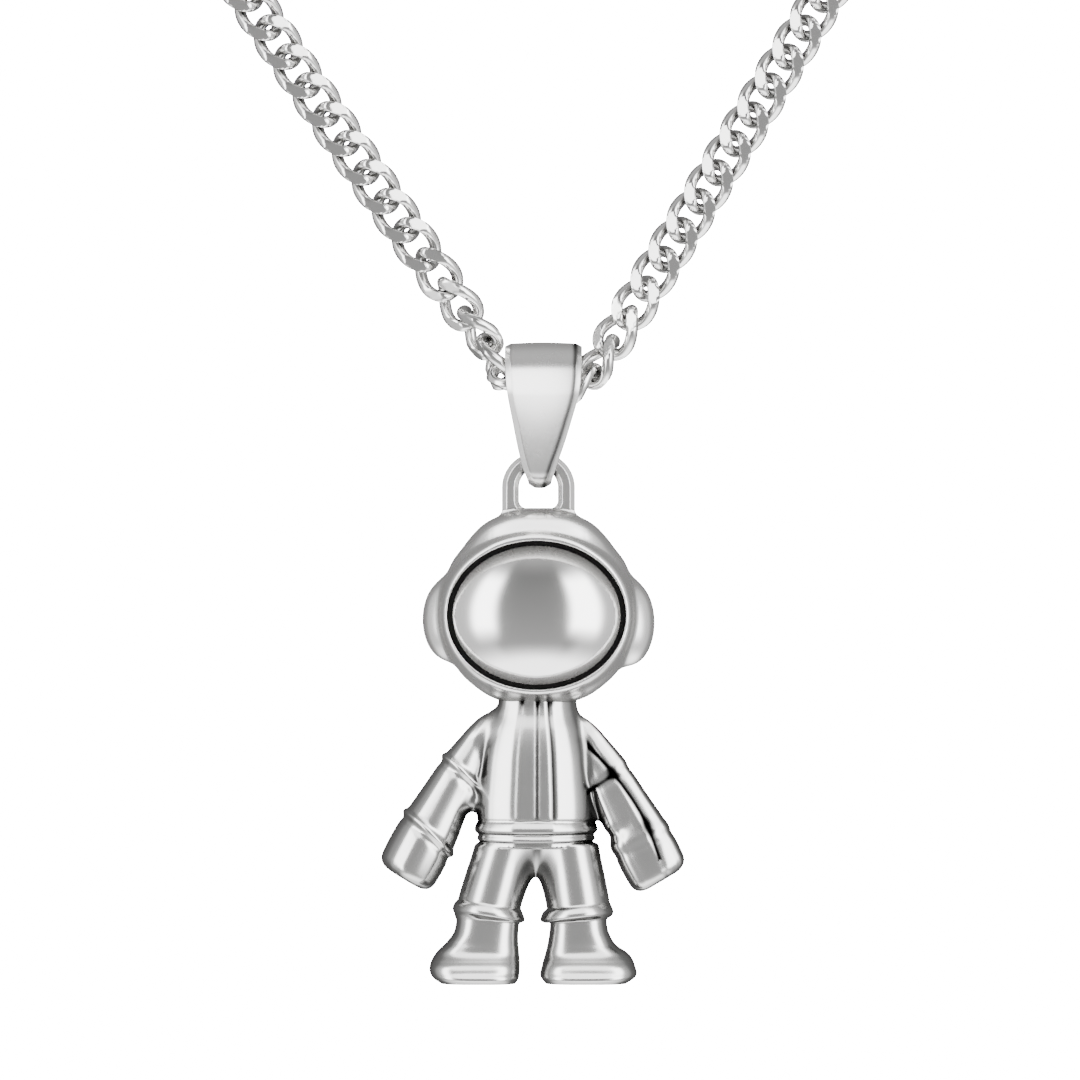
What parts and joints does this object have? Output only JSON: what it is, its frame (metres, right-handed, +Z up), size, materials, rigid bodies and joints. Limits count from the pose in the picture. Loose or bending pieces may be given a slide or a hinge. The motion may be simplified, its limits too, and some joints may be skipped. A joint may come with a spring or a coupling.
{
  "type": "astronaut pendant on a curb chain",
  "caption": "Cast steel astronaut figure with a domed visor, hung by a loop in a tapered bail on a twisted curb chain with a lobster clasp.",
  "frame": {"origin": "midway between the two top interlocks of the chain, where it is held up", "axes": "+Z up along the hanging pendant, the figure faces -Y, +X towards the picture's right"},
  "size_m": [0.0511, 0.0077, 0.0772],
  "materials": {
    "polished_chain": "polished, with flat cut faces on the links",
    "casting": "polished casting, darker in its creases",
    "visor": "mirror polished",
    "black_recess": "blackened groove"
  },
  "bodies": {
    "held_ends": {"left_jump_ring": "polished_chain", "clasp_body": "polished_chain", "clasp_lever_pin": "polished_chain", "clasp_spring": "polished_chain", "right_end_ring": "polished_chain"},
    "clasp_lever": {"clasp_lever": "polished_chain"},
    "left_link_01": {"left_link_01": "polished_chain"},
    "left_link_02": {"left_link_02": "polished_chain"},
    "left_link_03": {"left_link_03": "polished_chain"},
    "left_link_04": {"left_link_04": "polished_chain"},
    "left_link_05": {"left_link_05": "polished_chain"},
    "left_link_06": {"left_link_06": "polished_chain"},
    "left_link_07": {"left_link_07": "polished_chain"},
    "left_link_08": {"left_link_08": "polished_chain"},
    "left_link_09": {"left_link_09": "polished_chain"},
    "left_link_10": {"left_link_10": "polished_chain"},
    "left_link_11": {"left_link_11": "polished_chain"},
    "left_link_12": {"left_link_12": "polished_chain"},
    "left_link_13": {"left_link_13": "polished_chain"},
    "left_link_14": {"left_link_14": "polished_chain"},
    "right_link_01": {"right_link_01": "polished_chain"},
    "right_link_02": {"right_link_02": "polished_chain"},
    "right_link_03": {"right_link_03": "polished_chain"},
    "right_link_04": {"right_link_04": "polished_chain"},
    "right_link_05": {"right_link_05": "polished_chain"},
    "right_link_06": {"right_link_06": "polished_chain"},
    "right_link_07": {"right_link_07": "polished_chain"},
    "right_link_08": {"right_link_08": "polished_chain"},
    "right_link_09": {"right_link_09": "polished_chain"},
    "right_link_10": {"right_link_10": "polished_chain"},
    "right_link_11": {"right_link_11": "polished_chain"},
    "right_link_12": {"right_link_12": "polished_chain"},
    "right_link_13": {"right_link_13": "polished_chain"},
    "right_link_14": {"right_link_14": "polished_chain"},
    "bail_links": {"bail_link_1": "polished_chain", "bail_link_2": "polished_chain", "bail_link_3": "polished_chain"},
    "bail": {"bail": "polished_chain"},
    "figure": {"suspension_loop": "casting", "helmet_casting": "casting", "visor_seat_ring": "black_recess", "visor_dome": "visor", "suit_casting": "casting"}
  },
  "joints": [
    {"name": "left_link_01_swing", "type": "hinge", "parent": "held_ends", "child": "left_link_01", "pos_m": [-0.01975, 0, 0], "axis": [1, 0, 0], "range_deg": [-8, 8]},
    {"name": "left_link_02_swing", "type": "hinge", "parent": "left_link_01", "child": "left_link_02", "pos_m": [-0.01854, 0, -0.00184], "axis": [1, 0, 0], "range_deg": [-8, 8]},
    {"name": "left_link_03_swing", "type": "hinge", "parent": "left_link_02", "child": "left_link_03", "pos_m": [-0.01732, 0, -0.00369], "axis": [1, 0, 0], "range_deg": [-8, 8]},
    {"name": "left_link_04_swing", "type": "hinge", "parent": "left_link_03", "child": "left_link_04", "pos_m": [-0.01609, 0, -0.00553], "axis": [1, 0, 0], "range_deg": [-8, 8]},
    {"name": "left_link_05_swing", "type": "hinge", "parent": "left_link_04", "child": "left_link_05", "pos_m": [-0.01486, 0, -0.00738], "axis": [1, 0, 0], "range_deg": [-8, 8]},
    {"name": "left_link_06_swing", "type": "hinge", "parent": "left_link_05", "child": "left_link_06", "pos_m": [-0.01361, 0, -0.00922], "axis": [1, 0, 0], "range_deg": [-8, 8]},
    {"name": "left_link_07_swing", "type": "hinge", "parent": "left_link_06", "child": "left_link_07", "pos_m": [-0.01235, 0, -0.01106], "axis": [1, 0, 0], "range_deg": [-8, 8]},
    {"name": "left_link_08_swing", "type": "hinge", "parent": "left_link_07", "child": "left_link_08", "pos_m": [-0.01109, 0, -0.01291], "axis": [1, 0, 0], "range_deg": [-8, 8]},
    {"name": "left_link_09_swing", "type": "hinge", "parent": "left_link_08", "child": "left_link_09", "pos_m": [-0.00981, 0, -0.01475], "axis": [1, 0, 0], "range_deg": [-8, 8]},
    {"name": "left_link_10_swing", "type": "hinge", "parent": "left_link_09", "child": "left_link_10", "pos_m": [-0.00853, 0, -0.0166], "axis": [1, 0, 0], "range_deg": [-8, 8]},
    {"name": "left_link_11_swing", "type": "hinge", "parent": "left_link_10", "child": "left_link_11", "pos_m": [-0.00724, 0, -0.01844], "axis": [1, 0, 0], "range_deg": [-8, 8]},
    {"name": "left_link_12_swing", "type": "hinge", "parent": "left_link_11", "child": "left_link_12", "pos_m": [-0.00594, 0, -0.02028], "axis": [1, 0, 0], "range_deg": [-8, 8]},
    {"name": "left_link_13_swing", "type": "hinge", "parent": "left_link_12", "child": "left_link_13", "pos_m": [-0.00462, 0, -0.02213], "axis": [1, 0, 0], "range_deg": [-8, 8]},
    {"name": "left_link_14_swing", "type": "hinge", "parent": "left_link_13", "child": "left_link_14", "pos_m": [-0.00331, 0, -0.02397], "axis": [1, 0, 0], "range_deg": [-8, 8]},
    {"name": "right_link_01_swing", "type": "hinge", "parent": "held_ends", "child": "right_link_01", "pos_m": [0.01914, 0, 0], "axis": [1, 0, 0], "range_deg": [-8, 8]},
    {"name": "right_link_02_swing", "type": "hinge", "parent": "right_link_01", "child": "right_link_02", "pos_m": [0.01803, 0, -0.00184], "axis": [1, 0, 0], "range_deg": [-8, 8]},
    {"name": "right_link_03_swing", "type": "hinge", "parent": "right_link_02", "child": "right_link_03", "pos_m": [0.01693, 0, -0.00369], "axis": [1, 0, 0], "range_deg": [-8, 8]},
    {"name": "right_link_04_swing", "type": "hinge", "parent": "right_link_03", "child": "right_link_04", "pos_m": [0.01581, 0, -0.00553], "axis": [1, 0, 0], "range_deg": [-8, 8]},
    {"name": "right_link_05_swing", "type": "hinge", "parent": "right_link_04", "child": "right_link_05", "pos_m": [0.01469, 0, -0.00738], "axis": [1, 0, 0], "range_deg": [-8, 8]},
    {"name": "right_link_06_swing", "type": "hinge", "parent": "right_link_05", "child": "right_link_06", "pos_m": [0.01357, 0, -0.00922], "axis": [1, 0, 0], "range_deg": [-8, 8]},
    {"name": "right_link_07_swing", "type": "hinge", "parent": "right_link_06", "child": "right_link_07", "pos_m": [0.01245, 0, -0.01106], "axis": [1, 0, 0], "range_deg": [-8, 8]},
    {"name": "right_link_08_swing", "type": "hinge", "parent": "right_link_07", "child": "right_link_08", "pos_m": [0.01132, 0, -0.01291], "axis": [1, 0, 0], "range_deg": [-8, 8]},
    {"name": "right_link_09_swing", "type": "hinge", "parent": "right_link_08", "child": "right_link_09", "pos_m": [0.01018, 0, -0.01475], "axis": [1, 0, 0], "range_deg": [-8, 8]},
    {"name": "right_link_10_swing", "type": "hinge", "parent": "right_link_09", "child": "right_link_10", "pos_m": [0.00904, 0, -0.0166], "axis": [1, 0, 0], "range_deg": [-8, 8]},
    {"name": "right_link_11_swing", "type": "hinge", "parent": "right_link_10", "child": "right_link_11", "pos_m": [0.0079, 0, -0.01844], "axis": [1, 0, 0], "range_deg": [-8, 8]},
    {"name": "right_link_12_swing", "type": "hinge", "parent": "right_link_11", "child": "right_link_12", "pos_m": [0.00676, 0, -0.02028], "axis": [1, 0, 0], "range_deg": [-8, 8]},
    {"name": "right_link_13_swing", "type": "hinge", "parent": "right_link_12", "child": "right_link_13", "pos_m": [0.0056, 0, -0.02213], "axis": [1, 0, 0], "range_deg": [-8, 8]},
    {"name": "right_link_14_swing", "type": "hinge", "parent": "right_link_13", "child": "right_link_14", "pos_m": [0.00445, 0, -0.02397], "axis": [1, 0, 0], "range_deg": [-8, 8]},
    {"name": "bail_links_swing", "type": "hinge", "parent": "left_link_14", "child": "bail_links", "pos_m": [-0.00253, 0, -0.02587], "axis": [1, 0, 0], "range_deg": [-8, 8]},
    {"name": "bail_swing", "type": "hinge", "parent": "bail_links", "child": "bail", "pos_m": [0.00022, 0, -0.02632], "axis": [1, 0, 0], "range_deg": [-15, 15]},
    {"name": "figure_swing", "type": "hinge", "parent": "bail", "child": "figure", "pos_m": [-0.0001, 0, -0.03152], "axis": [1, 0, 0], "range_deg": [-45, 45]},
    {"name": "clasp_lever_hinge", "type": "hinge", "parent": "held_ends", "child": "clasp_lever", "pos_m": [-0.02266, -0.00103, 0.00601], "axis": [-0.6405, -0.6428, -0.4203], "range_deg": [0, 18], "stiffness_Nm_per_rad": 0.005, "springref_deg": -8.59}
  ],
  "couplings": [
    {"joint": "right_link_01_swing", "follows": "left_link_01_swing", "ratio": 1},
    {"joint": "right_link_02_swing", "follows": "left_link_02_swing", "ratio": 1},
    {"joint": "right_link_03_swing", "follows": "left_link_03_swing", "ratio": 1},
    {"joint": "right_link_04_swing", "follows": "left_link_04_swing", "ratio": 1},
    {"joint": "right_link_05_swing", "follows": "left_link_05_swing", "ratio": 1},
    {"joint": "right_link_06_swing", "follows": "left_link_06_swing", "ratio": 1},
    {"joint": "right_link_07_swing", "follows": "left_link_07_swing", "ratio": 1},
    {"joint": "right_link_08_swing", "follows": "left_link_08_swing", "ratio": 1},
    {"joint": "right_link_09_swing", "follows": "left_link_09_swing", "ratio": 1},
    {"joint": "right_link_10_swing", "follows": "left_link_10_swing", "ratio": 1},
    {"joint": "right_link_11_swing", "follows": "left_link_11_swing", "ratio": 1},
    {"joint": "right_link_12_swing", "follows": "left_link_12_swing", "ratio": 1},
    {"joint": "right_link_13_swing", "follows": "left_link_13_swing", "ratio": 1},
    {"joint": "right_link_14_swing", "follows": "left_link_14_swing", "ratio": 1}
  ]
}
